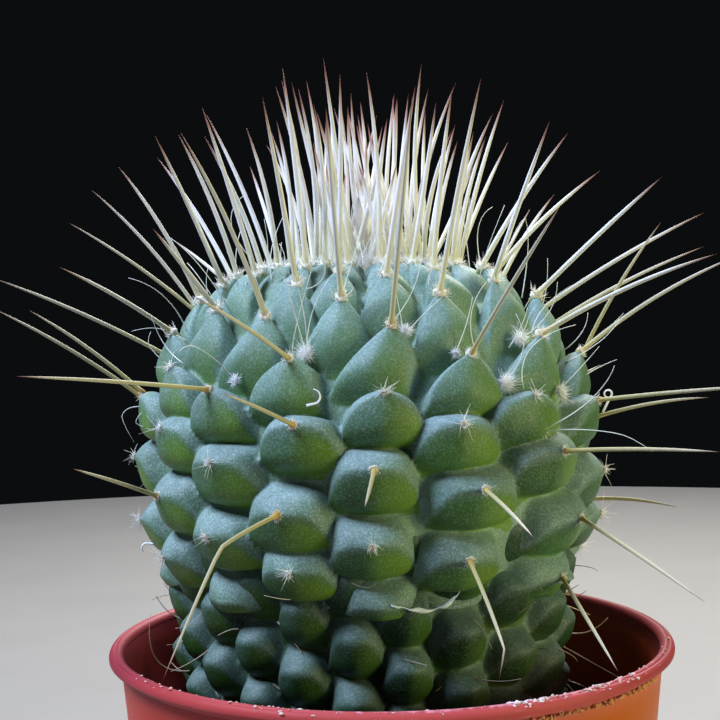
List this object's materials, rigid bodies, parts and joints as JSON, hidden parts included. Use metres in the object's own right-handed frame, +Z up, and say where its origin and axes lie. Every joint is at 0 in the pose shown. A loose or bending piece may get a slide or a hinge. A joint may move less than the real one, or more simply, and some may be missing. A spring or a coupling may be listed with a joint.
{
  "type": "potted mammillaria cactus",
  "caption": "Small round cactus with spiral rows of tubercles, one long needle to each, and a woolly crown, growing in soil in a tapered plastic pot with a rolled lip.",
  "frame": {"origin": "middle of the pot's flat base, on the surface that the pot stands on", "axes": "+Z up along the pot's axis, -Y towards the side that the picture shows, +X to the right of that view"},
  "size_m": [0.0994, 0.1072, 0.1405],
  "materials": {
    "pot": "satin",
    "soil": "matte",
    "cactus": "matte",
    "wool": "matte"
  },
  "bodies": {
    "root": {"pot": "pot", "soil": "soil", "cactus": "cactus", "crown_wool": "wool"}
  },
  "joints": []
}
